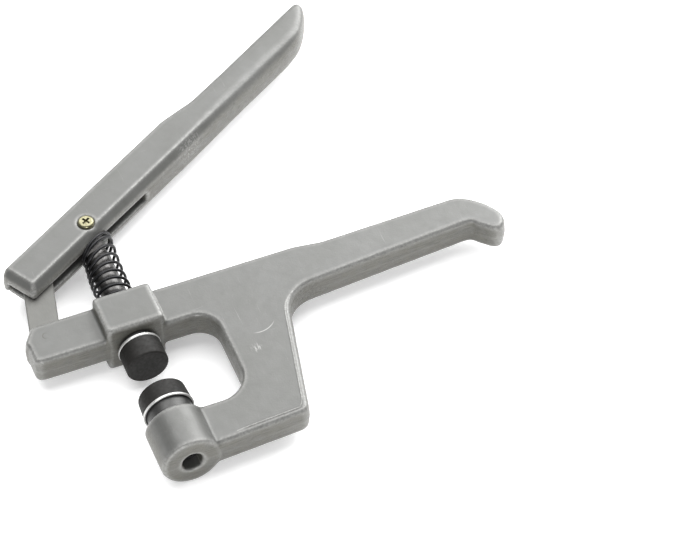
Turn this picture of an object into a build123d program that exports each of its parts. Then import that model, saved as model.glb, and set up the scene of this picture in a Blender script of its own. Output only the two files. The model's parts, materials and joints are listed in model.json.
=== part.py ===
from build123d import *
import math
import os

# Hand press for setting snap fasteners, lying on its side.
# Origin at the centre of the anvil pad's working face. +Y is the way the plunger opens,
# +X runs towards the rear handle, +Z is across the tool's thickness.

# ---- overall sizes -------------------------------------------------------
pad_gap = 15.6              # open height between the two pads
throat_depth = 34.2         # plunger axis to the web
arm_height = 19.6           # depth of the upper arm in the plane of the tool
front_reach = 44.6          # plunger axis to the front end of the upper arm
handle_reach = 170.0        # plunger axis to the end of the rear handle
handle_height = 15.6        # depth of the handle before its hooked end
plate_thickness = 14.0      # arms, web and handle
head_width = 26.0           # square block round the plunger
head_rise = 20.0            # from the arm's underside to its top
head_drop = 0.5             # how far it stands below the arm's underside
boss_radius = 13.0          # round boss under the anvil
boss_length = 21.7
boss_step = 0.5             # the lower arm sits this far inside the boss's ends
edge_round = 1.8
nose_length = 4.3           # sloping corner over the front pin
nose_drop = 7.6
nose_lean = 0.9             # the front wall leans forward towards the top
nose_wall = 1.2             # thin wall in front of the link's slot
waist_reach = 91.0          # plunger axis to where the handle's top edge steps down
waist_step = 1.6
tail_length = 19.0          # hooked end of the handle
web_width = 33.1            # web at the handle
heel_width = 18.8           # web at the lower arm
web_round = 16.0
heel_round = 4.5
throat_low_round = 13.0
throat_high_round = 10.0

# ---- lever ---------------------------------------------------------------
lever_angle = 31.0          # above +X at rest
lever_pivot_rise = 63.4     # screw above the upper arm's underside
lever_front = 42.6          # screw to the lever's front end
lever_length = 162.0        # screw to the lever's tip
lever_near = 9.5            # mid-plane to the face with the screw head
lever_far = 5.8             # mid-plane to the face with the nut
lever_top = 11.5            # screw centre to the lever's upper edge
lever_bottom = 6.3          # screw centre to its underside
lever_slot_back = 33.5      # how far the slot runs past the screw
lever_slot_top = 9.0
lever_far_setback = 2.0     # the far cheek ends short of the near one at the front
lever_step = 2.7            # how far the upper edge steps in for the grip
lever_step_start = 66.0
lever_step_length = 17.0
lever_bevel_width = 4.0     # bevel along the underside and the front end, across the tool
lever_bevel_depth = 2.8

# ---- side link -----------------------------------------------------------
link_width = 13.0
link_thickness = 5.0
link_arm = 33.4             # screw to the link's pin, along the lever
link_front_gap = 1.0        # link to the wall in front of its slot
frame_pin_rise = 12.4       # above the upper arm's underside
pin_radius = 2.5
open_pivot_clearance = 0.95 # the pivot that is left loose
pin_recess = 0.4
pin_cover = 2.0             # the pin holes stop this far short of the near face

# ---- plunger and its spring ---------------------------------------------
rod_radius = 5.5
rod_shoulder = 12.8         # screw centre down to the end of the round rod
tang_inset = 1.0            # the tang's edges lie this far inside the rod's surface
tang_thickness = 5.0
wire_radius = 0.66
coil_gap = 2.1              # rod's surface to the centre of the wire
coil_turns = 9.5
coil_shift = 1.3            # the top coils lean towards the handle
screw_radius = 2.0
screw_head_radius = 3.6
head_sink = 1.2             # screw head sunk in the lever
nut_across_flats = 7.0
nut_height = 2.6

# ---- pads, holders and anvil fixing -------------------------------------
upper_pad_radius = 9.35
upper_pad_height = 9.9
upper_rim_height = 1.3
upper_holder_height = 3.2
lower_pad_radius = 11.1
lower_pad_height = 9.0
lower_pad_taper = 0.7
lower_rim_height = 1.2
lower_holder_height = 7.5
holder_neck = 1.1           # holder body inside its rim, radially
spigot_radius = 5.0
spigot_height = 1.2
stud_radius = 3.0
anvil_screw_radius = 2.5
anvil_head_radius = 4.2
anvil_head_height = 5.0
anvil_socket = 4.0          # hexagon across its flats
anvil_bore_radius = 5.0
anvil_bore_depth = 11.0
washer_height = 1.3

# ---- fits ----------------------------------------------------------------
running_fit = 0.05          # radial, shaft in bore
seat_fit = 0.01             # radial, pressed or threaded
side_play = 0.3             # link and tang in their slots
stop_gap = 0.4              # holder below the block at rest
spring_gap = 0.3            # coil ends off the faces they press on

# ---- places that follow from the sizes ----------------------------------
upper_holder_base = pad_gap + upper_pad_height
upper_holder_top = upper_holder_base + upper_holder_height
head_base = upper_holder_top + stop_gap
arm_underside = head_base + head_drop
arm_top = arm_underside + arm_height
half_plate = plate_thickness / 2
half_head = head_width / 2
head_top = arm_underside + head_rise
boss_top = -(lower_pad_height + lower_holder_height)
boss_bottom = boss_top - boss_length
seat_level = boss_bottom + anvil_bore_depth
slot_half = link_thickness / 2 + side_play
slope = math.radians(lever_angle)
along = Vector(math.cos(slope), math.sin(slope), 0)
pivot = Vector(0, arm_underside + lever_pivot_rise, 0)
frame_pin_x = -front_reach + nose_wall + link_front_gap + link_width / 2
frame_pin = Vector(frame_pin_x, arm_underside + frame_pin_rise, 0)
lever_pin = pivot - along * link_arm
link_length = (lever_pin - frame_pin).length
link_end = link_width / 2
coil_radius = rod_radius + coil_gap
tang_width = 2 * (rod_radius - tang_inset)


def extruded(outline, thickness, height=0.0):
    """A flat outline in XY made into a plate centred on the given height."""
    face = make_face(outline)
    return Pos(0, 0, height - thickness / 2) * extrude(face, thickness, dir=(0, 0, 1))


def rod_along_y(radius, low, high, x=0.0, z=0.0):
    """A round bar parallel to the plunger."""
    return Pos(x, (low + high) / 2, z) * Rot(90, 0, 0) * Cylinder(radius, high - low)


def bar_across(radius, place, low, high):
    """A round bar across the tool's thickness."""
    return Pos(place.X, place.Y, (low + high) / 2) * Cylinder(radius, high - low)


def block(x_low, x_high, y_low, y_high, z_low, z_high):
    centre = Pos((x_low + x_high) / 2, (y_low + y_high) / 2, (z_low + z_high) / 2)
    return centre * Box(x_high - x_low, y_high - y_low, z_high - z_low)


def flat_rims(solid):
    """The edges that lie round a plate's two flat faces."""
    return solid.edges().group_by(Axis.Z)[0] + solid.edges().group_by(Axis.Z)[-1]


def frame_outline():
    """C-shaped frame seen from the side, from the front end round to the front end."""
    mid_arm = arm_underside + arm_height / 2
    tail_x = handle_reach - tail_length
    under_level = arm_top - handle_height
    web_top = Vector(throat_depth + web_width, arm_underside - 2.1)
    heel = Vector(throat_depth + heel_width, boss_bottom + 2.7)
    lower_floor = boss_bottom + boss_step
    lower_roof = boss_top - boss_step
    top_end = (tail_x, arm_top - 0.2)
    under_end = (tail_x, under_level)
    upper = FilletPolyline(
        (-front_reach, mid_arm),
        (-front_reach - nose_lean, arm_top - nose_drop),
        (-front_reach + nose_length, arm_top),
        (waist_reach - 12.0, arm_top + 0.2),
        (waist_reach, arm_top - waist_step),
        top_end,
        radius=[2.5, 2.5, 30, 30],
    )
    tail = Spline(
        top_end,
        (handle_reach - 8.7, arm_top - 4.3),
        (handle_reach - 1.5, arm_top - 13.1),
        (handle_reach - 0.4, arm_top - 19.6),
        (handle_reach - 4.6, under_level - 8.2),
        (handle_reach - 9.0, under_level - 5.6),
        (handle_reach - 12.6, under_level - 1.9),
        under_end,
        tangents=[(1, 0.02), (-1, -0.07)],
    )
    lower = FilletPolyline(
        under_end,
        (web_top.X, web_top.Y),
        (heel.X, heel.Y),
        (boss_radius, lower_floor),
        (0, lower_floor),
        (0, lower_roof),
        (throat_depth, lower_roof),
        (throat_depth, arm_underside),
        (-front_reach, arm_underside),
        (-front_reach, mid_arm),
        radius=[web_round, heel_round, 0, 0, 0, throat_low_round, throat_high_round, 3],
    )
    return [upper, tail, lower]


def frame_casting():
    plate = extruded(frame_outline(), plate_thickness)
    plate = fillet(flat_rims(plate), edge_round)
    head = block(-half_head, half_head, head_base, head_top, -half_head, half_head)
    head = fillet(head.edges(), edge_round)
    boss = rod_along_y(boss_radius, boss_bottom, boss_top)
    boss = fillet(boss.edges().filter_by(GeomType.CIRCLE), 1.2)
    body = plate + head + boss
    body -= rod_along_y(rod_radius + running_fit, head_base - 1, head_top + 1)
    body -= rod_along_y(anvil_bore_radius, boss_bottom - 1, seat_level)
    body -= rod_along_y(anvil_screw_radius + 0.2, boss_bottom, boss_top + 1)
    slot_back = frame_pin.X + link_end + 3.6
    slot_floor = frame_pin.Y - link_end - 1.0
    slot_front = -front_reach + nose_wall
    body -= block(slot_front, slot_back, slot_floor, arm_top + 5, -slot_half, slot_half)
    body -= bar_across(pin_radius + seat_fit, frame_pin, -half_head, half_plate - pin_cover)
    return body


def lever_outline():
    """Lever seen from the side, along +X from its front end, with the screw at the origin."""
    spare = 0.6
    front = -lever_front - spare
    under = -lever_bottom - spare
    step_end = lever_step_start + lever_step_length
    tip_top = (lever_length - 2.2, lever_top - 7.4)
    tip_bend = (lever_length - 8.6, lever_top - 12.4)
    tip_under = (lever_length - 19.0, under + 1.4)
    upper = FilletPolyline(
        (front, 0),
        (front, lever_top),
        (lever_step_start, lever_top),
        (step_end, lever_top - lever_step),
        (lever_length, lever_top - lever_step + 0.4),
        tip_top,
        radius=[2.5, 25, 25, 2.2],
    )
    tip = ThreePointArc(tip_top, tip_bend, tip_under)
    lower = FilletPolyline(
        tip_under,
        (lever_length - 32.0, under),
        (front, under),
        (front, 0),
        radius=[10, 2.5],
    )
    return [upper, tip, lower]


def on_lever(shape):
    """Moves a shape drawn along the lever, screw at the origin, to its place at rest."""
    return Pos(pivot.X, pivot.Y, 0) * Rot(0, 0, lever_angle) * shape


def bevelled_bar(low, high):
    """Section of a long bar with one low edge bevelled, the one on the near side."""
    rise = lever_bevel_depth / lever_bevel_width * (lever_bevel_width + 1.0)
    profile = FilletPolyline(
        (-lever_far - 1.0, low),
        (lever_near - lever_bevel_width, low),
        (lever_near + 1.0, low + rise),
        (lever_near + 1.0, high),
        (-lever_far - 1.0, high),
        radius=[0, 1.5, 0, 0, 0],
        close=True,
    )
    return make_face(profile)


def lever_casting():
    middle = (lever_near - lever_far) / 2
    body = extruded(lever_outline(), lever_near + lever_far, middle)
    body = fillet(flat_rims(body), edge_round)
    far = lever_length + lever_front
    under = Plane(origin=(-far, 0, 0), x_dir=(0, 0, 1), z_dir=(-1, 0, 0))
    body &= extrude(under * bevelled_bar(-lever_bottom, far), 2 * far, dir=(1, 0, 0))
    front = Plane(origin=(0, -far, 0), x_dir=(0, 0, 1), z_dir=(0, 1, 0))
    body &= extrude(front * bevelled_bar(-lever_front, far), 2 * far, dir=(0, 1, 0))
    slot_low = -lever_bottom - 5
    body -= block(-lever_front - 5, lever_slot_back, slot_low, lever_slot_top, -slot_half, slot_half)
    far_end = -lever_front + lever_far_setback
    body -= block(-lever_front - 5, far_end, slot_low, lever_top + 5, -half_head, -slot_half)
    body -= bar_across(screw_radius + seat_fit, Vector(0, 0), -half_head, half_head)
    body -= bar_across(screw_head_radius + 0.4, Vector(0, 0), lever_near - head_sink, half_head)
    body -= bar_across(pin_radius + seat_fit, Vector(-link_arm, 0), -half_head, lever_near - pin_cover)
    return on_lever(body)


def side_link():
    """Flat bar with round ends; its hole at the lever end is the loose one."""
    tilt = math.degrees(math.atan2(lever_pin.Y - frame_pin.Y, lever_pin.X - frame_pin.X))
    bar = extrude(SlotCenterToCenter(link_length, link_width), link_thickness / 2, both=True)
    bar = chamfer(flat_rims(bar), 0.4)
    bar -= bar_across(pin_radius + running_fit, Vector(-link_length / 2, 0), -link_width, link_width)
    bar -= bar_across(pin_radius + open_pivot_clearance, Vector(link_length / 2, 0), -link_width, link_width)
    middle = (frame_pin + lever_pin) / 2
    return Pos(middle.X, middle.Y, 0) * Rot(0, 0, tilt) * bar


def cross_pin(place, near, far):
    """Plain pin pressed in from the far side, its hole blind at the near side."""
    pin = bar_across(pin_radius, place, pin_recess - far, near - pin_cover - 0.2)
    return chamfer(pin.edges().filter_by(GeomType.CIRCLE), 0.3)


def plunger_rod():
    """Round rod with a flat tang for the lever above and a threaded stud below."""
    shoulder = pivot.Y - rod_shoulder
    rod = rod_along_y(rod_radius, upper_holder_top, shoulder)
    rod = chamfer(rod.edges().group_by(Axis.Y)[-1], 0.6)
    half_tang = tang_thickness / 2
    tang = block(-tang_width / 2, tang_width / 2, shoulder - 1, pivot.Y, -half_tang, half_tang)
    tang += bar_across(tang_width / 2, pivot, -half_tang, half_tang)
    rod += tang
    rod -= bar_across(screw_radius + running_fit, pivot, -half_head, half_head)
    stud_end = upper_holder_base + spigot_height + 0.6
    return rod + rod_along_y(stud_radius, stud_end, upper_holder_top)


def pivot_screw():
    """Pan-head screw with a cross recess, through both cheeks of the lever."""
    seat = lever_near - head_sink
    head_height = 2.2
    head = bar_across(screw_head_radius, pivot, seat, seat + head_height)
    head = fillet(head.edges().group_by(Axis.Z)[-1], 1.1)
    recess_depth = 1.5
    for turn in (lever_angle, lever_angle + 90):
        wing = Box(4.0, 1.0, recess_depth * 2)
        head -= Pos(pivot.X, pivot.Y, seat + head_height) * Rot(0, 0, turn) * wing
    return head + bar_across(screw_radius, pivot, -lever_far - nut_height - 0.6, seat)


def pivot_nut():
    """Plain nut against the lever's far face."""
    nut = extrude(RegularPolygon(nut_across_flats / 2, 6, major_radius=False), nut_height)
    nut = Pos(pivot.X, pivot.Y, -lever_far - nut_height) * Rot(0, 0, lever_angle) * nut
    return nut - bar_across(screw_radius + seat_fit, pivot, -half_head, half_head)


def coil_point(turn):
    """Centre of the wire after so many turns: level below, lying along the lever above."""
    share = turn / coil_turns
    low = head_top + spring_gap + wire_radius
    underside = pivot.Y - lever_bottom / math.cos(slope)
    high = underside - (spring_gap + wire_radius) / math.cos(slope)
    end_pitch = wire_radius * 2 + 0.12
    open_turns = coil_turns - 2
    open_pitch = (high - low - end_pitch * 2) / open_turns
    rise = end_pitch * min(turn, 1) + open_pitch * min(max(turn - 1, 0), open_turns)
    rise += end_pitch * max(turn - 1 - open_turns, 0)
    ease = min(max((share - 0.30) / 0.60, 0), 1)
    ease = ease * ease * (3 - 2 * ease)
    angle = turn * 2 * math.pi
    x = coil_radius * math.cos(angle)
    z = coil_radius * math.sin(angle)
    lean = coil_shift * ease * ease
    return Vector(x + lean, low + rise + math.tan(slope) * ease * (x + lean), z)


def return_spring():
    points_per_turn = 12
    count = round(coil_turns * points_per_turn)
    path = Spline(*[coil_point(i / points_per_turn) for i in range(count + 1)])
    start = Plane(origin=path @ 0, z_dir=path % 0)
    return sweep(start * Circle(wire_radius), path=path, is_frenet=True)


def upper_die_holder():
    rim_top = upper_holder_base + upper_rim_height
    holder = rod_along_y(upper_pad_radius + 0.2, upper_holder_base, rim_top)
    holder = chamfer(holder.edges().filter_by(GeomType.CIRCLE), 0.25)
    holder += rod_along_y(upper_pad_radius - holder_neck, rim_top - 0.5, upper_holder_top)
    stud_end = upper_holder_base + spigot_height + 0.6
    holder -= rod_along_y(stud_radius + seat_fit, stud_end, upper_holder_top + 1)
    holder -= rod_along_y(spigot_radius + seat_fit, upper_holder_base - 1, upper_holder_base + spigot_height)
    return holder


def upper_pad():
    pad = rod_along_y(upper_pad_radius, pad_gap, upper_holder_base)
    pad = fillet(pad.edges().group_by(Axis.Y)[0], 0.8)
    return pad + rod_along_y(spigot_radius, upper_holder_base - 1, upper_holder_base + spigot_height)


def lower_die_holder():
    rim_top = -lower_pad_height
    rim_base = rim_top - lower_rim_height
    holder = rod_along_y(lower_pad_radius + 0.2, rim_base, rim_top)
    holder = chamfer(holder.edges().filter_by(GeomType.CIRCLE), 0.25)
    holder += rod_along_y(lower_pad_radius - holder_neck, boss_top, rim_base + 0.5)
    holder -= rod_along_y(anvil_screw_radius + seat_fit, boss_top - 1, rim_top - spigot_height - 1.0)
    holder -= rod_along_y(spigot_radius + seat_fit, rim_top - spigot_height, rim_top + 1)
    return holder


def lower_pad():
    top = lower_pad_radius - lower_pad_taper
    low = -lower_pad_height
    pad = Pos(0, low / 2, 0) * Rot(-90, 0, 0) * Cone(lower_pad_radius, top, lower_pad_height)
    pad = fillet(pad.edges().group_by(Axis.Y)[-1], 1.2)
    return pad + rod_along_y(spigot_radius, low - spigot_height, low + 1)


def anvil_screw():
    """Socket-head screw that holds the anvil from under the boss."""
    head_top_level = seat_level - washer_height
    head_base = head_top_level - anvil_head_height
    shank_end = -lower_pad_height - spigot_height - 1.5
    screw = rod_along_y(anvil_head_radius, head_base, head_top_level)
    screw = chamfer(screw.edges().group_by(Axis.Y)[0], 0.4)
    socket = extrude(RegularPolygon(anvil_socket / 2, 6, major_radius=False), 2.6)
    screw -= Pos(0, head_base, 0) * Rot(-90, 0, 0) * socket
    return screw + rod_along_y(anvil_screw_radius, head_top_level, shank_end)


def anvil_lock_washer():
    """Split spring washer under the screw's head."""
    ring = rod_along_y(anvil_head_radius + 0.3, seat_level - washer_height, seat_level)
    ring -= rod_along_y(anvil_screw_radius + 0.15, seat_level - 2 * washer_height, seat_level + 1)
    split = Pos(anvil_head_radius, seat_level - washer_height / 2, 0) * Rot(0, 0, 20) * Box(5, 5, 0.6)
    return ring - split


sub_parts = {
    "frame_casting": frame_casting,
    "lever_casting": lever_casting,
    "side_link": side_link,
    "frame_link_pin": lambda: cross_pin(frame_pin, half_plate, half_plate),
    "lever_link_pin": lambda: cross_pin(lever_pin, lever_near, lever_far),
    "plunger_rod": plunger_rod,
    "pivot_screw": pivot_screw,
    "pivot_nut": pivot_nut,
    "return_spring": return_spring,
    "upper_die_holder": upper_die_holder,
    "upper_pad": upper_pad,
    "lower_die_holder": lower_die_holder,
    "lower_pad": lower_pad,
    "anvil_screw": anvil_screw,
    "anvil_lock_washer": anvil_lock_washer,
}

os.makedirs("parts", exist_ok=True)
for name, make in sub_parts.items():
    shape = make()
    export_step(shape, "parts/" + name + ".step")
    print(name, round(shape.volume, 1), len(shape.solids()), shape.is_valid)
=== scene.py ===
import bpy
import bmesh
import json
import math
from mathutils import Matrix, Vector, noise
from mathutils.bvhtree import BVHTree


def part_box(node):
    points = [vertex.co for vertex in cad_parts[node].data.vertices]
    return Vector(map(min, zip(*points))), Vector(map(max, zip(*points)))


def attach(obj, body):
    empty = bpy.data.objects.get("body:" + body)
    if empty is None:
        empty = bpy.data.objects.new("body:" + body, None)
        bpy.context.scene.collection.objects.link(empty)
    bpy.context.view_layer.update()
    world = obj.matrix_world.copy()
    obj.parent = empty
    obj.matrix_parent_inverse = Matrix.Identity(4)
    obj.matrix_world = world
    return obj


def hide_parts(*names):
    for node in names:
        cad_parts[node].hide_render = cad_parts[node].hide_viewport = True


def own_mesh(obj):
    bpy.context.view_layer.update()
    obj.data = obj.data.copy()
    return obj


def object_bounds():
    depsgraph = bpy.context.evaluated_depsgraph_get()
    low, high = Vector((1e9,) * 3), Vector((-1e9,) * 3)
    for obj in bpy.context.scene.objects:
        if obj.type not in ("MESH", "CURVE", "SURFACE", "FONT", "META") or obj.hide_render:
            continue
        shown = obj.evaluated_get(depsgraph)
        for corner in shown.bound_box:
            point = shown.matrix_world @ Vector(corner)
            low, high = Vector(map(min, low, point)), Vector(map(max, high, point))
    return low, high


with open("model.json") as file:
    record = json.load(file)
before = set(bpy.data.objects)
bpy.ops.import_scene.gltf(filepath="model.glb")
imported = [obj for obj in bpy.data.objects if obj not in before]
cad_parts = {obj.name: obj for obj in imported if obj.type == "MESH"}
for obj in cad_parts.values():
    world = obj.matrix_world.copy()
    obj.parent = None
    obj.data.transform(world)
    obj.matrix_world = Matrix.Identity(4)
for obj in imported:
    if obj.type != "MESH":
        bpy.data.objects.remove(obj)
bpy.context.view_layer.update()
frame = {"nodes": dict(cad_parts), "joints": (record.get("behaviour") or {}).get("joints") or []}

# Snap press lying on its side. Everything is in metres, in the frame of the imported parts:
# +Y up the plunger, +X to the rear handle, +Z across the tool, origin on the anvil pad.

mm = 0.001
nodes = frame["nodes"]
joints = {joint["name"]: joint for joint in frame["joints"]}
scene = bpy.context.scene


# ---------- small helpers for meshes ----------

def cleanCopy(nodeName, name):
    mesh = nodes[nodeName].data.copy()
    mesh.name = name
    mesh.materials.clear()
    work = bmesh.new()
    work.from_mesh(mesh)
    bmesh.ops.remove_doubles(work, verts=work.verts, dist=0.002 * mm)
    work.to_mesh(mesh)
    work.free()
    obj = bpy.data.objects.new(name, mesh)
    scene.collection.objects.link(obj)
    return obj


def bakeModifiers(obj):
    graph = bpy.context.evaluated_depsgraph_get()
    graph.update()
    mesh = bpy.data.meshes.new_from_object(obj.evaluated_get(graph))
    obj.modifiers.clear()
    obj.data = mesh
    return obj


def meshObject(name, work):
    mesh = bpy.data.meshes.new(name)
    work.to_mesh(mesh)
    work.free()
    obj = bpy.data.objects.new(name, mesh)
    scene.collection.objects.link(obj)
    return obj


def skinRings(work, rings):
    # joins rings of vertices into a tube with closed ends
    sides = len(rings[0])
    for first, second in zip(rings, rings[1:]):
        for side in range(sides):
            after = (side + 1) % sides
            work.faces.new((first[side], first[after], second[after], second[side]))
    work.faces.new(rings[0][::-1])
    work.faces.new(rings[-1])
    bmesh.ops.recalc_face_normals(work, faces=work.faces)
    return work


def smoothShade(obj):
    for face in obj.data.polygons:
        face.use_smooth = True
    return obj


def dress(obj, material):
    obj.data.materials.clear()
    obj.data.materials.append(material)
    return obj


# ---------- small helpers for materials ----------

def newMaterial(name):
    material = bpy.data.materials.new(name)
    material.use_nodes = True
    tree = material.node_tree
    tree.nodes.clear()
    output = tree.nodes.new("ShaderNodeOutputMaterial")
    shader = tree.nodes.new("ShaderNodeBsdfPrincipled")
    tree.links.new(shader.outputs[0], output.inputs["Surface"])
    return material, tree, shader


def feed(tree, source, target):
    if isinstance(source, bpy.types.NodeSocket):
        tree.links.new(source, target)
    else:
        target.default_value = source


def math2(tree, operation, a, b=0.0, clamp=False):
    node = tree.nodes.new("ShaderNodeMath")
    node.operation = operation
    node.use_clamp = clamp
    feed(tree, a, node.inputs[0])
    feed(tree, b, node.inputs[1])
    return node.outputs[0]


def lengthOf(tree, a, b):
    squareA = math2(tree, "MULTIPLY", a, a)
    squareB = math2(tree, "MULTIPLY", b, b)
    return math2(tree, "SQRT", math2(tree, "ADD", squareA, squareB))


def remap(tree, value, low, high, toLow=0.0, toHigh=1.0):
    node = tree.nodes.new("ShaderNodeMapRange")
    feed(tree, value, node.inputs["Value"])
    feed(tree, low, node.inputs["From Min"])
    feed(tree, high, node.inputs["From Max"])
    feed(tree, toLow, node.inputs["To Min"])
    feed(tree, toHigh, node.inputs["To Max"])
    return node.outputs["Result"]


def blendColor(tree, amount, first, second):
    node = tree.nodes.new("ShaderNodeMix")
    node.data_type = "RGBA"
    feed(tree, amount, node.inputs[0])
    feed(tree, first, node.inputs[6])
    feed(tree, second, node.inputs[7])
    return node.outputs[2]


def bumpFrom(tree, height, strength, distance, under=None):
    node = tree.nodes.new("ShaderNodeBump")
    node.inputs["Strength"].default_value = strength
    node.inputs["Distance"].default_value = distance
    feed(tree, height, node.inputs["Height"])
    if under is not None:
        tree.links.new(under, node.inputs["Normal"])
    return node.outputs["Normal"]


def millimetres(tree, stretch=(1, 1, 1)):
    place = tree.nodes.new("ShaderNodeTexCoord")
    mapping = tree.nodes.new("ShaderNodeMapping")
    mapping.inputs["Scale"].default_value = [1000 * s for s in stretch]
    tree.links.new(place.outputs["Object"], mapping.inputs["Vector"])
    return mapping.outputs["Vector"]


def newGroup(name, numbersIn, numbersOut):
    group = bpy.data.node_groups.new(name, "ShaderNodeTree")
    for label, value in numbersIn.items():
        socket = group.interface.new_socket(label, in_out="INPUT", socket_type="NodeSocketFloat")
        socket.default_value = value
    for label in numbersOut:
        group.interface.new_socket(label, in_out="OUTPUT", socket_type="NodeSocketFloat")
    start = group.nodes.new("NodeGroupInput")
    end = group.nodes.new("NodeGroupOutput")
    return group, start, end


def place(tree, group, **values):
    node = tree.nodes.new("ShaderNodeGroup")
    node.node_tree = group
    for label, value in values.items():
        feed(tree, value, node.inputs[label])
    return node.outputs


def noiseNode(tree, vector, scale, detail=3.0, roughness=0.5):
    node = tree.nodes.new("ShaderNodeTexNoise")
    tree.links.new(vector, node.inputs["Vector"])
    feed(tree, scale, node.inputs["Scale"])
    node.inputs["Detail"].default_value = detail
    node.inputs["Roughness"].default_value = roughness
    return node.outputs["Fac"]


# ---------- shared effects ----------

def makeCastSkin():
    # fine sand grain, soft lumps and cloudy patches of a sprayed die casting
    group, start, end = newGroup(
        "castSkin",
        {"Grain Size": 0.35, "Lump Size": 6.0, "Cloud Size": 22.0},
        ["Grain", "Lumps", "Clouds"],
    )
    vector = millimetres(group)
    for label, size, detail, roughness in (
        ("Grain", "Grain Size", 2.0, 0.5),
        ("Lumps", "Lump Size", 3.0, 0.5),
        ("Clouds", "Cloud Size", 4.0, 0.6),
    ):
        perMillimetre = math2(group, "DIVIDE", 1.0, start.outputs[size])
        field = noiseNode(group, vector, perMillimetre, detail, roughness)
        group.links.new(field, end.inputs[label])
    return group


def makeEdgeWearHighlight():
    # paint thinned by wear where the surface bulges, and a painted highlight along these edges, broken up
    # by a rough noise
    group, start, end = newGroup("edgeWearHighlight", {"Sharpness": 0.53, "Width": 0.05, "Break Up": 0.5}, ["Mask"])
    shape = group.nodes.new("ShaderNodeNewGeometry")
    vector = millimetres(group)
    rough = noiseNode(group, vector, 0.9, 4.0, 0.65)
    low = start.outputs["Sharpness"]
    high = math2(group, "ADD", low, start.outputs["Width"])
    wornAndHighlight = remap(group, shape.outputs["Pointiness"], low, high)
    broken = remap(group, rough, 0.35, 0.65)
    gate = math2(group, "MULTIPLY", broken, start.outputs["Break Up"])
    keep = math2(group, "SUBTRACT", 1.0, gate)
    group.links.new(math2(group, "MULTIPLY", wornAndHighlight, keep, True), end.inputs["Mask"])
    return group


def makeHandlingMarks():
    # long faint scratches in two directions and a few short nicks
    group, start, end = newGroup("handlingMarks", {"Amount": 0.5}, ["Scratches", "Nicks"])
    total = None
    for stretch, turn in (((0.05, 1.3, 1.3), 0.5), ((1.1, 0.04, 1.1), 0.9)):
        coordinates = group.nodes.new("ShaderNodeTexCoord")
        mapping = group.nodes.new("ShaderNodeMapping")
        mapping.inputs["Rotation"].default_value = (0, 0, turn)
        mapping.inputs["Scale"].default_value = [1000 * s for s in stretch]
        group.links.new(coordinates.outputs["Object"], mapping.inputs["Vector"])
        streak = noiseNode(group, mapping.outputs["Vector"], 1.0, 5.0, 0.7)
        line = remap(group, streak, 0.66, 0.72)
        total = line if total is None else math2(group, "MAXIMUM", total, line)
    nickField = noiseNode(group, millimetres(group), 0.42, 3.0, 0.75)
    nicks = remap(group, nickField, 0.70, 0.76)
    amount = start.outputs["Amount"]
    group.links.new(math2(group, "MULTIPLY", total, amount), end.inputs["Scratches"])
    group.links.new(math2(group, "MULTIPLY", nicks, amount), end.inputs["Nicks"])
    return group


def makeTurningRings():
    # rings left by the lathe on round parts about the plunger's axis
    group, start, end = newGroup("turningRings", {"Pitch": 0.12}, ["Rings"])
    vector = millimetres(group)
    split = group.nodes.new("ShaderNodeSeparateXYZ")
    group.links.new(vector, split.inputs[0])
    radius = lengthOf(group, split.outputs["X"], split.outputs["Z"])
    reach = math2(group, "ADD", radius, split.outputs["Y"])
    turns = math2(group, "DIVIDE", reach, start.outputs["Pitch"])
    wave = math2(group, "SINE", math2(group, "MULTIPLY", turns, 2 * math.pi))
    wobble = noiseNode(group, vector, 1.7, 2.0)
    group.links.new(math2(group, "MULTIPLY", wave, wobble), end.inputs["Rings"])
    return group


def makeSpotMask():
    # one around a point on the part, fading to nothing at the given radius; all in millimetres
    group, start, end = newGroup("spotMask", {"X": 0.0, "Y": 0.0, "Z": 0.0, "Radius": 10.0}, ["Mask"])
    point = group.nodes.new("ShaderNodeCombineXYZ")
    for label in "XYZ":
        group.links.new(start.outputs[label], point.inputs[label])
    gap = group.nodes.new("ShaderNodeVectorMath")
    gap.operation = "DISTANCE"
    group.links.new(millimetres(group), gap.inputs[0])
    group.links.new(point.outputs[0], gap.inputs[1])
    near = math2(group, "DIVIDE", gap.outputs["Value"], start.outputs["Radius"])
    group.links.new(remap(group, near, 1.0, 0.45), end.inputs["Mask"])
    return group


def makeSideMask():
    # one on faces that stand upright, nothing on the flat faces above and below
    group, start, end = newGroup("sideMask", {"Blur": 0.25}, ["Mask"])
    shape = group.nodes.new("ShaderNodeNewGeometry")
    split = group.nodes.new("ShaderNodeSeparateXYZ")
    group.links.new(shape.outputs["Normal"], split.inputs[0])
    flat = math2(group, "ABSOLUTE", split.outputs["Z"])
    top = math2(group, "ADD", 0.35, start.outputs["Blur"])
    group.links.new(remap(group, flat, top, 0.35), end.inputs["Mask"])
    return group


def makeRingLine():
    # thin circle drawn round a point in the tool's plane, in millimetres
    group, start, end = newGroup("ringLine", {"X": 0.0, "Y": 0.0, "Radius": 1.5, "Width": 0.4}, ["Line"])
    split = group.nodes.new("ShaderNodeSeparateXYZ")
    group.links.new(millimetres(group), split.inputs[0])
    acrossX = math2(group, "SUBTRACT", split.outputs["X"], start.outputs["X"])
    acrossY = math2(group, "SUBTRACT", split.outputs["Y"], start.outputs["Y"])
    radius = lengthOf(group, acrossX, acrossY)
    offRing = math2(group, "ABSOLUTE", math2(group, "SUBTRACT", radius, start.outputs["Radius"]))
    wide = start.outputs["Width"]
    group.links.new(remap(group, offRing, wide, math2(group, "MULTIPLY", wide, 0.3)), end.inputs["Line"])
    return group


def makeRadiusMask():
    # one farther from the plunger's axis than the given radius, in millimetres
    group, start, end = newGroup("radiusMask", {"Radius": 9.0}, ["Mask"])
    split = group.nodes.new("ShaderNodeSeparateXYZ")
    group.links.new(millimetres(group), split.inputs[0])
    radius = lengthOf(group, split.outputs["X"], split.outputs["Z"])
    outer = math2(group, "ADD", start.outputs["Radius"], 0.2)
    group.links.new(remap(group, radius, start.outputs["Radius"], outer), end.inputs["Mask"])
    return group


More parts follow.
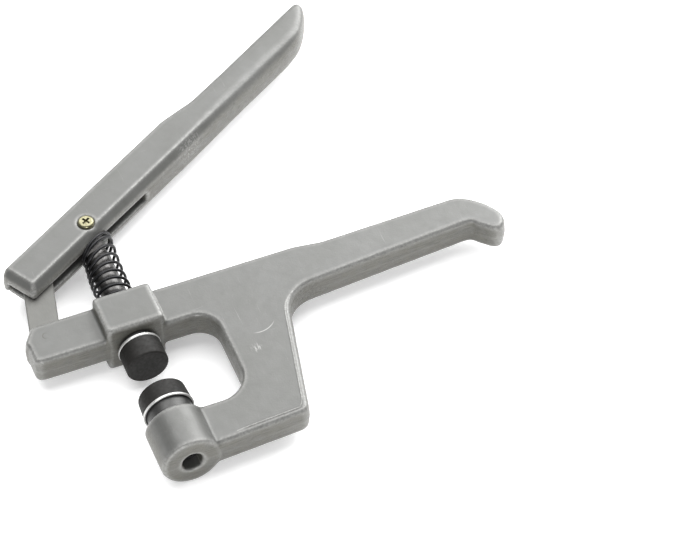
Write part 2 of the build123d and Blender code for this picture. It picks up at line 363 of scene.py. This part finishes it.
castSkin = makeCastSkin()
radiusMask = makeRadiusMask()
spotMask = makeSpotMask()
sideMask = makeSideMask()
ringLine = makeRingLine()
edgeWearHighlight = makeEdgeWearHighlight()
handlingMarks = makeHandlingMarks()
turningRings = makeTurningRings()

castGreyLook = {
    "paint": (0.090, 0.091, 0.087, 1),
    "shadePaint": (0.081, 0.082, 0.077, 1),
    # tint the paint shows in shade, painted on upright faces
    "shadedSidePaint": (0.098, 0.096, 0.082, 1),
    # colour of paint thinned by wear, also used as a painted highlight on convex edges
    "wornAndHighlight": (0.235, 0.235, 0.226, 1),
    # dark colour painted as shade: streaks on upright faces and the groove round the front pin
    "grime": (0.050, 0.048, 0.040, 1),
    "roughLow": 0.38,
    "roughHigh": 0.50,
    "metal": 0.22,
    "coat": 0.14,
    "coatRough": 0.26,
    "grainSize": 0.34,       # grain and lumps in millimetres
    "lumpSize": 4.0,
    "marks": 0.55,           # strength of the scratches and nicks
    "edgeWearAndHighlight": 0.85,
    # strength of the dark streaks painted as shade on upright faces
    "sideGrime": 0.70,
    "lumpHeight": 0.24 * mm,
    "foldHeight": 1.1 * mm,
    "gritHeight": 0.16 * mm,
    "grainHeight": 0.06 * mm,
    "scratchDepth": 0.05 * mm,
}


def rowMillimetres(point):
    return {"X": point[0] * 1000, "Y": point[1] * 1000, "Z": point[2] * 1000}


def castMaterial(name, look, wrinkled, rubbedAt, arcs):
    material, tree, shader = newMaterial(name)
    skin = place(tree, castSkin, **{"Grain Size": look["grainSize"], "Lump Size": look["lumpSize"]})
    edgeWearHighlightMask = place(tree, edgeWearHighlight, Sharpness=0.502, Width=0.020, **{"Break Up": 0.6})["Mask"]
    marks = place(tree, handlingMarks, Amount=look["marks"])
    side = place(tree, sideMask)["Mask"]
    wrinkleZone = place(tree, spotMask, Radius=wrinkled[1], **rowMillimetres(wrinkled[0]))["Mask"]
    rubZone = place(tree, spotMask, Radius=rubbedAt[1], **rowMillimetres(rubbedAt[0]))["Mask"]
    cloud = remap(tree, skin["Clouds"], 0.35, 0.65)
    paint = blendColor(tree, cloud, look["paint"], look["shadePaint"])
    # upright faces are painted with the paint's olive tint in shade and with dark streaks of painted shade
    shadedSideTone = math2(tree, "MULTIPLY", side, remap(tree, skin["Lumps"], 0.3, 0.6, 0.45, 1.0))
    paint = blendColor(tree, shadedSideTone, paint, look["shadedSidePaint"])
    streaks = noiseNode(tree, millimetres(tree, (0.16, 0.7, 1.6)), 1.0, 5.0, 0.7)
    sideStreakShade = math2(tree, "MULTIPLY", side, remap(tree, streaks, 0.48, 0.66, 0.0, look["sideGrime"]))
    paint = blendColor(tree, sideStreakShade, paint, look["grime"])
    # convex edges painted lighter: paint thinned by wear and a painted highlight
    edgeWearHighlightAmount = math2(tree, "MULTIPLY", edgeWearHighlightMask, look["edgeWearAndHighlight"])
    paint = blendColor(tree, edgeWearHighlightAmount, paint, look["wornAndHighlight"])
    fine = noiseNode(tree, millimetres(tree, (1.4, 0.22, 1.4)), 1.0, 5.0, 0.75)
    scrubbed = math2(tree, "MULTIPLY", rubZone, remap(tree, fine, 0.5, 0.62))
    scuffed = math2(tree, "ADD", math2(tree, "MULTIPLY", marks["Scratches"], 0.5), scrubbed, True)
    paint = blendColor(tree, scuffed, paint, look["wornAndHighlight"])
    groove = 0.0
    for mark in arcs:
        ring = place(tree, ringLine, X=mark["x"], Y=mark["y"], Radius=mark["radius"], Width=mark["width"])
        zone = place(tree, spotMask, X=mark["atX"], Y=mark["atY"], Z=mark["atZ"], Radius=mark["reach"])
        line = math2(tree, "MULTIPLY", ring["Line"], zone["Mask"])
        line = math2(tree, "MULTIPLY", line, mark["tone"])
        groove = math2(tree, "ADD", groove, line)
    dark = math2(tree, "MAXIMUM", groove, 0.0)
    light = math2(tree, "MAXIMUM", math2(tree, "MULTIPLY", groove, -1.0), 0.0)
    # arcs with a positive tone are painted shade in their grooves, arcs with a negative tone are light
    # scratches
    paint = blendColor(tree, dark, paint, look["grime"])
    paint = blendColor(tree, light, paint, look["wornAndHighlight"])
    tree.links.new(paint, shader.inputs["Base Color"])
    rough = remap(tree, skin["Lumps"], 0.3, 0.7, look["roughLow"], look["roughHigh"])
    rough = math2(tree, "SUBTRACT", rough, math2(tree, "MULTIPLY", edgeWearHighlightMask, 0.08))
    tree.links.new(rough, shader.inputs["Roughness"])
    shader.inputs["Metallic"].default_value = look["metal"]
    shader.inputs["Coat Weight"].default_value = look["coat"]
    shader.inputs["Coat Roughness"].default_value = look["coatRough"]
    height = math2(tree, "SUBTRACT", skin["Lumps"], math2(tree, "MULTIPLY", marks["Nicks"], 0.6))
    lumpy = bumpFrom(tree, height, 0.75, look["lumpHeight"])
    folds = noiseNode(tree, millimetres(tree, (0.55, 0.20, 0.45)), 1.0, 2.0, 0.5)
    foldHeight = math2(tree, "MULTIPLY", math2(tree, "MULTIPLY", wrinkleZone, side), folds)
    folded = bumpFrom(tree, foldHeight, 0.9, look["foldHeight"], lumpy)
    sideGrit = math2(tree, "MULTIPLY", side, math2(tree, "ADD", skin["Grain"], streaks))
    gritty = bumpFrom(tree, sideGrit, 0.7, look["gritHeight"], folded)
    grained = bumpFrom(tree, skin["Grain"], 0.40, look["grainHeight"], gritty)
    scored = math2(tree, "SUBTRACT", 0.0, math2(tree, "ADD", scuffed, math2(tree, "MULTIPLY", dark, 3.0)))
    scratched = bumpFrom(tree, scored, 0.5, look["scratchDepth"], grained)
    tree.links.new(scratched, shader.inputs["Normal"])
    return material


# rimFrom is the radius in millimetres beyond which a turned part shows its polished rim; inside it the
# holder's dark colour is painted shade on its neck
holderLook = {
    "color": (0.075, 0.075, 0.074, 1), "dark": (0.045, 0.045, 0.044, 1), "metal": 0.8,
    "roughLow": 0.34, "roughHigh": 0.50, "stretch": (0.1, 4.0, 0.1), "bump": 0.25, "rings": 0.6,
    "rim": (0.50, 0.50, 0.49, 1),
}
metalLooks = {
    "upperHolderSteel": {**holderLook, "rimFrom": 8.7},
    "lowerHolderSteel": {**holderLook, "rimFrom": 10.5},
    "linkGrey": {
        "color": (0.112, 0.112, 0.104, 1), "dark": (0.094, 0.094, 0.087, 1), "metal": 0.25,
        "roughLow": 0.36, "roughHigh": 0.52, "stretch": (1.6, 0.10, 1.6), "bump": 0.25, "rings": 0.0,
    },
    "pinGrey": {
        "color": (0.16, 0.16, 0.154, 1), "dark": (0.10, 0.10, 0.096, 1), "metal": 0.5,
        "roughLow": 0.35, "roughHigh": 0.5, "stretch": (0.8, 0.8, 0.8), "bump": 0.3, "rings": 0.0,
    },
    "rodSteel": {
        "color": (0.110, 0.108, 0.106, 1), "dark": (0.050, 0.048, 0.047, 1), "metal": 0.9,
        "roughLow": 0.24, "roughHigh": 0.44, "stretch": (1.2, 0.15, 1.2), "bump": 0.2, "rings": 0.25,
    },
    "springBlack": {
        "color": (0.018, 0.018, 0.020, 1), "dark": (0.009, 0.009, 0.010, 1), "metal": 0.55,
        "roughLow": 0.26, "roughHigh": 0.44, "stretch": (1.5, 1.5, 1.5), "bump": 0.15, "rings": 0.0,
    },
    "yellowZinc": {
        "color": (0.30, 0.29, 0.19, 1), "dark": (0.11, 0.10, 0.06, 1), "metal": 1.0,
        "roughLow": 0.22, "roughHigh": 0.40, "stretch": (0.9, 0.9, 0.9), "bump": 0.35, "rings": 0.0,
    },
    "screwDark": {
        "color": (0.060, 0.060, 0.062, 1), "dark": (0.030, 0.030, 0.031, 1), "metal": 0.9,
        "roughLow": 0.3, "roughHigh": 0.5, "stretch": (1, 1, 1), "bump": 0.2, "rings": 0.2,
    },
}


def metalMaterial(name):
    look = metalLooks[name]
    material, tree, shader = newMaterial(name)
    skin = place(tree, castSkin, **{"Grain Size": 0.25, "Lump Size": 2.2, "Cloud Size": 7.0})
    marks = place(tree, handlingMarks, Amount=0.35)
    drawn = noiseNode(tree, millimetres(tree, look["stretch"]), 3.0, 5.0, 0.6)
    patch = remap(tree, math2(tree, "ADD", skin["Clouds"], drawn), 0.75, 1.25)
    color = blendColor(tree, patch, look["color"], look["dark"])
    # on the die holders the dark colour inside rimFrom is painted shade, and the rim beyond it is the
    # bright steel
    if "rim" in look:
        rim = place(tree, radiusMask, Radius=look["rimFrom"])["Mask"]
        color = blendColor(tree, rim, color, look["rim"])
    tree.links.new(color, shader.inputs["Base Color"])
    rough = remap(tree, drawn, 0.3, 0.7, look["roughLow"], look["roughHigh"])
    tree.links.new(rough, shader.inputs["Roughness"])
    shader.inputs["Metallic"].default_value = look["metal"]
    rings = place(tree, turningRings, Pitch=0.22)["Rings"]
    height = math2(tree, "ADD", drawn, math2(tree, "MULTIPLY", rings, look["rings"]))
    height = math2(tree, "SUBTRACT", height, marks["Scratches"])
    tree.links.new(bumpFrom(tree, height, look["bump"], 0.03 * mm), shader.inputs["Normal"])
    return material


padLook = {
    "color": (0.0065, 0.006, 0.0052, 1),
    "dust": (0.014, 0.013, 0.0115, 1),
    "roughLow": 0.5,
    "roughHigh": 0.7,
    "shine": 0.25,
}


def padMaterial():
    material, tree, shader = newMaterial("padBlack")
    skin = place(tree, castSkin, **{"Grain Size": 0.18, "Lump Size": 1.4, "Cloud Size": 5.0})
    marks = place(tree, handlingMarks, Amount=0.6)
    dusty = remap(tree, math2(tree, "ADD", skin["Clouds"], marks["Scratches"]), 0.5, 1.1)
    tree.links.new(blendColor(tree, dusty, padLook["color"], padLook["dust"]), shader.inputs["Base Color"])
    rough = remap(tree, skin["Lumps"], 0.3, 0.7, padLook["roughLow"], padLook["roughHigh"])
    tree.links.new(rough, shader.inputs["Roughness"])
    shader.inputs["Specular IOR Level"].default_value = padLook["shine"]
    rings = place(tree, turningRings, Pitch=0.3)["Rings"]
    height = math2(tree, "ADD", skin["Grain"], math2(tree, "MULTIPLY", rings, 0.5))
    tree.links.new(bumpFrom(tree, height, 0.25, 0.04 * mm), shader.inputs["Normal"])
    return material


pivotSpot = Vector(joints["lever_pivot"]["pos_m"])
framePinSpot = joints["link_pivot"]["pos_m"]
leverLow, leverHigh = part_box("lever_casting")
leverPinLow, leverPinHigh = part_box("lever_link_pin")
leverPinSpot = (leverPinLow + leverPinHigh) / 2
leverWay = pivotSpot - leverPinSpot
leverWay.z = 0
leverWay.normalize()
wrinkleSpot = (0.074, 0.030, 0.0)    # the handle's root, by the web
rubSpot = (0.044, 0.003, 0.007)      # low on the web's near face
scrubSpot = pivotSpot + leverWay * 0.066 + Vector((0.003, -0.009, 0.004))
pinX = framePinSpot[0] * 1000
pinY = framePinSpot[1] * 1000
frameArcs = [
    # dark broken ring over the front pin, painted shade of the groove round its end
    {"x": pinX, "y": pinY, "radius": 1.5, "width": 0.42, "tone": 0.7,
     "atX": pinX - 1.0, "atY": pinY + 0.3, "atZ": 7.0, "reach": 2.3},
    # light curved scratch on the web
    {"x": 48.9, "y": 19.6, "radius": 9.4, "width": 0.32, "tone": -1.0,
     "atX": 51.5, "atY": 10.6, "atZ": 7.0, "reach": 6.0},
]
# each zone is a centre in metres and a radius in millimetres
castGrey = castMaterial("castGrey", castGreyLook, (wrinkleSpot, 17.0), (rubSpot, 3.0), frameArcs)
leverGrey = castMaterial("leverGrey", castGreyLook, (leverHigh, 6.0), (scrubSpot, 10.5), [])
print("materials ready")


# ---------- the two castings ----------

castShape = {
    "plateHalf": 7 * mm,
    "boreGap": 0.12 * mm,    # rod to the bore's wall
    "voxel": 0.62 * mm,
    "smoothRounds": 7,
    "draft": 0.55 * mm,      # the sides bulge to the parting line halfway through
    "lump": 0.06 * mm,
    "lumpSize": 9 * mm,
    "gripStart": 62 * mm,    # from here to the tip the lever's ridge fades into a rounded grip
    "gripEnd": 112 * mm,
    "gripRounds": 90,
}


def gripGroup(obj):
    # how far a vertex lies along the lever, from the screw towards the tip
    group = obj.vertex_groups.new(name="grip")
    for vertex in obj.data.vertices:
        reach = (vertex.co - pivotSpot).dot(leverWay)
        share = (reach - castShape["gripStart"]) / (castShape["gripEnd"] - castShape["gripStart"])
        share = min(max(share, 0), 1)
        if share > 0:
            group.add([vertex.index], share * share * (3 - 2 * share), "REPLACE")


def softCasting(nodeName, name, halfThick, middle):
    obj = cleanCopy(nodeName, name)
    remesh = obj.modifiers.new("skin", "REMESH")
    remesh.mode = "VOXEL"
    remesh.voxel_size = castShape["voxel"]
    remesh.adaptivity = 0
    relax = obj.modifiers.new("relax", "SMOOTH")
    relax.factor = 0.5
    relax.iterations = castShape["smoothRounds"]
    bakeModifiers(obj)
    # the normals are read before any vertex moves
    normals = [vertex.normal.copy() for vertex in obj.data.vertices]
    for vertex, normal in zip(obj.data.vertices, normals):
        spot = vertex.co.copy()
        side = Vector((normal.x, normal.y, 0))
        fromMiddle = abs(spot.z - middle) / halfThick
        if side.length > 0.75 and fromMiddle < 1:
            spot += side.normalized() * castShape["draft"] * (1 - fromMiddle)
        spot += normal * castShape["lump"] * noise.noise(spot / castShape["lumpSize"])
        vertex.co = spot
    return smoothShade(obj)


def clearRound(obj, axisX, radius, lowY, highY):
    # keeps the plunger's bore open after the remesh
    for vertex in obj.data.vertices:
        across = Vector((vertex.co.x - axisX, 0, vertex.co.z))
        inside = lowY < vertex.co.y < highY
        if inside and across.length < radius:
            out = across.normalized() * radius
            vertex.co = Vector((axisX + out.x, vertex.co.y, out.z))


rodLow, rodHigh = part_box("plunger_rod")
rodRadius = (rodHigh.x - rodLow.x) / 2
frameLow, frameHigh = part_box("frame_casting")
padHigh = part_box("upper_pad")[1]

castFrame = softCasting("frame_casting", "castFrame", castShape["plateHalf"], 0)
clearRound(castFrame, 0, rodRadius + castShape["boreGap"], padHigh.y, frameHigh.y + 5 * mm)
dress(castFrame, castGrey)
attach(castFrame, "frame")
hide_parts("frame_casting")

castLever = softCasting(
    "lever_casting", "castLever", (leverHigh.z - leverLow.z) / 2, (leverHigh.z + leverLow.z) / 2
)
gripGroup(castLever)
grip = castLever.modifiers.new("grip", "SMOOTH")
grip.vertex_group = "grip"
grip.factor = 0.5
grip.iterations = castShape["gripRounds"]
smoothShade(bakeModifiers(castLever))
dress(castLever, leverGrey)
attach(castLever, "lever")
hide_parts("lever_casting")
print("castings ready", len(castFrame.data.vertices), len(castLever.data.vertices))


# ---------- raised lines left by the mould ----------

beadShape = {
    "radius": 0.50 * mm,
    "inset": 2.5 * mm,       # from the web's outer edge
    "sink": 0.20 * mm,       # how deep its centre lies in the plate's face
    "steps": 60,
    "sides": 10,
    "blockGap": 0.9 * mm,    # from the square block to the short bead beside it
}


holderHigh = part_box("upper_die_holder")[1]
headHalf = frameHigh.z           # the block is as wide as it is thick


def surfaceTree(nodeName):
    mesh = nodes[nodeName].data
    corners = [vertex.co.copy() for vertex in mesh.vertices]
    return BVHTree.FromPolygons(corners, [tuple(face.vertices) for face in mesh.polygons])


def layOnPlate(tree, outline):
    # drops an outline onto the plate's near face, slightly sunk and slightly wavy
    points = []
    for spot in outline:
        top = tree.ray_cast(Vector((spot.x, spot.y, 1)), Vector((0, 0, -1)))[0]
        wave = 0.12 * mm * noise.noise(spot / (5 * mm))
        points.append(Vector((spot.x + wave, spot.y, top.z - beadShape["sink"])))
    return points


def webOutline(tree):
    # follows the web's outer edge down to the heel and then the lower arm to the boss
    steps = beadShape["steps"]
    armY = padHigh.y
    webFoot = frameLow.y + 9 * mm
    bossEdge = 19 * mm
    footX = tree.ray_cast(Vector((1, webFoot, 0)), Vector((-1, 0, 0)))[0].x
    outline = []
    for i in range(steps + 1):
        y = armY + (webFoot - armY) * i / steps
        hit = tree.ray_cast(Vector((footX + 30 * mm, y, 0)), Vector((-1, 0, 0)))[0]
        outline.append(Vector((hit.x - beadShape["inset"], y, 0)))
    cornerX = footX - 4 * mm
    for i in range(1, steps + 1):
        x = cornerX + (bossEdge - cornerX) * i / steps
        hit = tree.ray_cast(Vector((x, -1, 0)), Vector((0, 1, 0)))[0]
        outline.append(Vector((x, hit.y + beadShape["inset"], 0)))
    return outline


def blockOutline():
    # short line on the arm's face beside the square block
    x = headHalf + beadShape["blockGap"]
    low = holderHigh.y + 3.5 * mm
    high = frameHigh.y - 2.2 * mm
    return [Vector((x, low + (high - low) * i / 20, 0)) for i in range(21)]


def beadTube(points, radius, sides):
    work = bmesh.new()
    rings = []
    count = len(points)
    for index, point in enumerate(points):
        ahead = points[min(index + 2, count - 1)]
        behind = points[max(index - 2, 0)]
        along = (ahead - behind).normalized()
        out = along.cross(Vector((0, 0, 1))).normalized()
        fade = min(1.0, 0.25 + 6 * min(index, count - 1 - index) / count)
        ring = []
        for side in range(sides):
            turn = side * 2 * math.pi / sides
            offset = out * math.cos(turn) * radius + Vector((0, 0, 1)) * math.sin(turn) * radius * fade
            ring.append(work.verts.new(point + offset))
        rings.append(ring)
    return skinRings(work, rings)


plateTree = surfaceTree("frame_casting")
for beadName, beadPath in (("webBead", webOutline(plateTree)), ("blockBead", blockOutline())):
    beadPoints = layOnPlate(plateTree, beadPath)
    bead = meshObject(beadName, beadTube(beadPoints, beadShape["radius"], beadShape["sides"]))
    smoothShade(bead)
    dress(bead, castGrey)
    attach(bead, "frame")
print("beads ready")


# ---------- return spring ----------

springShape = {
    "wire": 0.66 * mm,
    "turns": 9.5,
    "lean": 1.3 * mm,        # how far the top coils lean to the handle side
    "stepsPerTurn": 32,
    "sides": 12,
    "leverAngle": math.radians(31),
    "endPitch": 0.12 * mm,   # gap between the closed coils at each end
    "keep": 0.52,
}


def springPoint(turn, lowLevel, highLevel, coilRadius):
    shape = springShape
    share = turn / shape["turns"]
    endPitch = shape["wire"] * 2 + shape["endPitch"]
    openTurns = shape["turns"] - 2
    openPitch = (highLevel - lowLevel - endPitch * 2) / openTurns
    rise = endPitch * min(turn, 1) + openPitch * min(max(turn - 1, 0), openTurns)
    rise += endPitch * max(turn - 1 - openTurns, 0)
    ease = min(max((share - 0.30) / 0.60, 0), 1)
    ease = ease * ease * (3 - 2 * ease)
    angle = turn * 2 * math.pi
    x = coilRadius * math.cos(angle) + shape["lean"] * ease * ease
    z = coilRadius * math.sin(angle)
    return Vector((x, lowLevel + rise + math.tan(shape["leverAngle"]) * ease * x, z))


def wireTube(points, radius, sides):
    work = bmesh.new()
    rings = []
    count = len(points)
    for index, point in enumerate(points):
        ahead = points[min(index + 1, count - 1)]
        behind = points[max(index - 1, 0)]
        along = (ahead - behind).normalized()
        out = Vector((point.x, 0, point.z)).normalized()
        up = along.cross(out).normalized()
        out = up.cross(along).normalized()
        ring = []
        for side in range(sides):
            turn = side * 2 * math.pi / sides
            ring.append(work.verts.new(point + (out * math.cos(turn) + up * math.sin(turn)) * radius))
        rings.append(ring)
    return skinRings(work, rings)


def makeSpring():
    low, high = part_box("return_spring")
    wire = springShape["wire"]
    slope = springShape["leverAngle"]
    coilRadius = (high.z - low.z) / 2 - wire
    lowLevel = low.y + wire
    # the box's top is where the wire last passes the right side, half a turn before its end
    # and about one wire radius lower
    rightEdge = coilRadius + springShape["lean"]
    highLevel = high.y - wire / math.cos(slope) - math.tan(slope) * rightEdge + wire
    count = round(springShape["turns"] * springShape["stepsPerTurn"])
    steps = springShape["stepsPerTurn"]
    points = [springPoint(i / steps, lowLevel, highLevel, coilRadius) for i in range(count + 1)]
    obj = meshObject("coilSpring", wireTube(points, wire, springShape["sides"]))
    return smoothShade(obj), lowLevel - wire


coilSpring, springSeat = makeSpring()
dress(coilSpring, metalMaterial("springBlack"))
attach(coilSpring, "frame")
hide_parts("return_spring")
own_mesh(coilSpring)
print("spring ready", len(coilSpring.data.vertices))


# ---------- finishes for the parts kept as they are ----------

keptParts = {
    "side_link": "linkGrey",
    "frame_link_pin": "pinGrey",
    "lever_link_pin": "pinGrey",
    "plunger_rod": "rodSteel",
    "pivot_screw": "yellowZinc",
    "pivot_nut": "yellowZinc",
    "upper_die_holder": "upperHolderSteel",
    "lower_die_holder": "lowerHolderSteel",
    "anvil_screw": "screwDark",
    "anvil_lock_washer": "screwDark",
}


def finishKeptParts():
    made = {}
    for nodeName, materialName in keptParts.items():
        if materialName not in made:
            made[materialName] = metalMaterial(materialName)
        nodes[nodeName].data.materials.clear()
        nodes[nodeName].data.materials.append(made[materialName])
    black = padMaterial()
    for nodeName in ("upper_pad", "lower_pad"):
        nodes[nodeName].data.materials.clear()
        nodes[nodeName].data.materials.append(black)


finishKeptParts()
print("kept parts finished")


# ---------- floor, light and camera ----------

studio = {
    "floorColor": (0.93, 0.93, 0.93, 1),
    "floorSize": 4.0,
    "floorGlow": 0.30,       # keeps the contact shadows light
    "floorShade": (0.92, 0.92, 0.925, 1),
    "skyColor": (1.0, 1.0, 1.0, 1),
    "skyStrength": 0.45,
    "lights": [
        # name, place, size, watts
        ("overhead", (0.20, 0.62, 1.15), 1.9, 40.0),
        ("rightSide", (0.80, 0.45, 0.60), 0.8, 11.0),
        ("lowFront", (-0.30, -1.20, 0.42), 0.35, 8.0),
    ],
    "aim": (0.0938, 0.0317, 0.0),
    "distance": 1.505,
    "azimuth": 22.0,
    "elevation": 50.5,
    "lens": 185.0,
}


def floorMaterial():
    material, tree, shader = newMaterial("paleFloor")
    vector = millimetres(tree)
    cloud = remap(tree, noiseNode(tree, vector, 0.01, 3.0), 0.3, 0.7)
    tone = blendColor(tree, cloud, studio["floorColor"], studio["floorShade"])
    tree.links.new(tone, shader.inputs["Base Color"])
    shader.inputs["Roughness"].default_value = 0.75
    shader.inputs["Specular IOR Level"].default_value = 0.2
    shader.inputs["Emission Color"].default_value = (1, 1, 1, 1)
    shader.inputs["Emission Strength"].default_value = studio["floorGlow"]
    return material


def buildStudio():
    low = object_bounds()[0]
    work = bmesh.new()
    bmesh.ops.create_grid(work, x_segments=8, y_segments=8, size=studio["floorSize"] / 2)
    floor = meshObject("paleFloor", work)
    floor.location = (0.06, 0.08, low.z - 0.0002)
    floor.data.materials.append(floorMaterial())
    world = bpy.data.worlds.new("softSky")
    world.use_nodes = True
    background = world.node_tree.nodes["Background"]
    background.inputs["Color"].default_value = studio["skyColor"]
    background.inputs["Strength"].default_value = studio["skyStrength"]
    scene.world = world
    centre = Vector(studio["aim"])
    for name, spot, size, watts in studio["lights"]:
        light = bpy.data.lights.new(name, "AREA")
        light.shape = "SQUARE"
        light.size = size
        light.energy = watts
        lamp = bpy.data.objects.new(name, light)
        lamp.location = spot
        lamp.rotation_euler = (centre - Vector(spot)).to_track_quat("-Z", "Y").to_euler()
        scene.collection.objects.link(lamp)


def buildCamera():
    turn = math.radians(studio["azimuth"])
    rise = math.radians(studio["elevation"])
    forward = Vector((math.sin(turn) * math.cos(rise), math.cos(turn) * math.cos(rise), -math.sin(rise)))
    lens = bpy.data.cameras.new("camera")
    lens.lens = studio["lens"]
    lens.sensor_width = 36
    lens.clip_end = 10
    camera = bpy.data.objects.new("camera", lens)
    camera.location = Vector(studio["aim"]) - forward * studio["distance"]
    camera.rotation_euler = forward.to_track_quat("-Z", "Y").to_euler()
    scene.collection.objects.link(camera)
    scene.camera = camera


buildStudio()
buildCamera()
scene.view_settings.view_transform = "Standard"
print("studio ready")
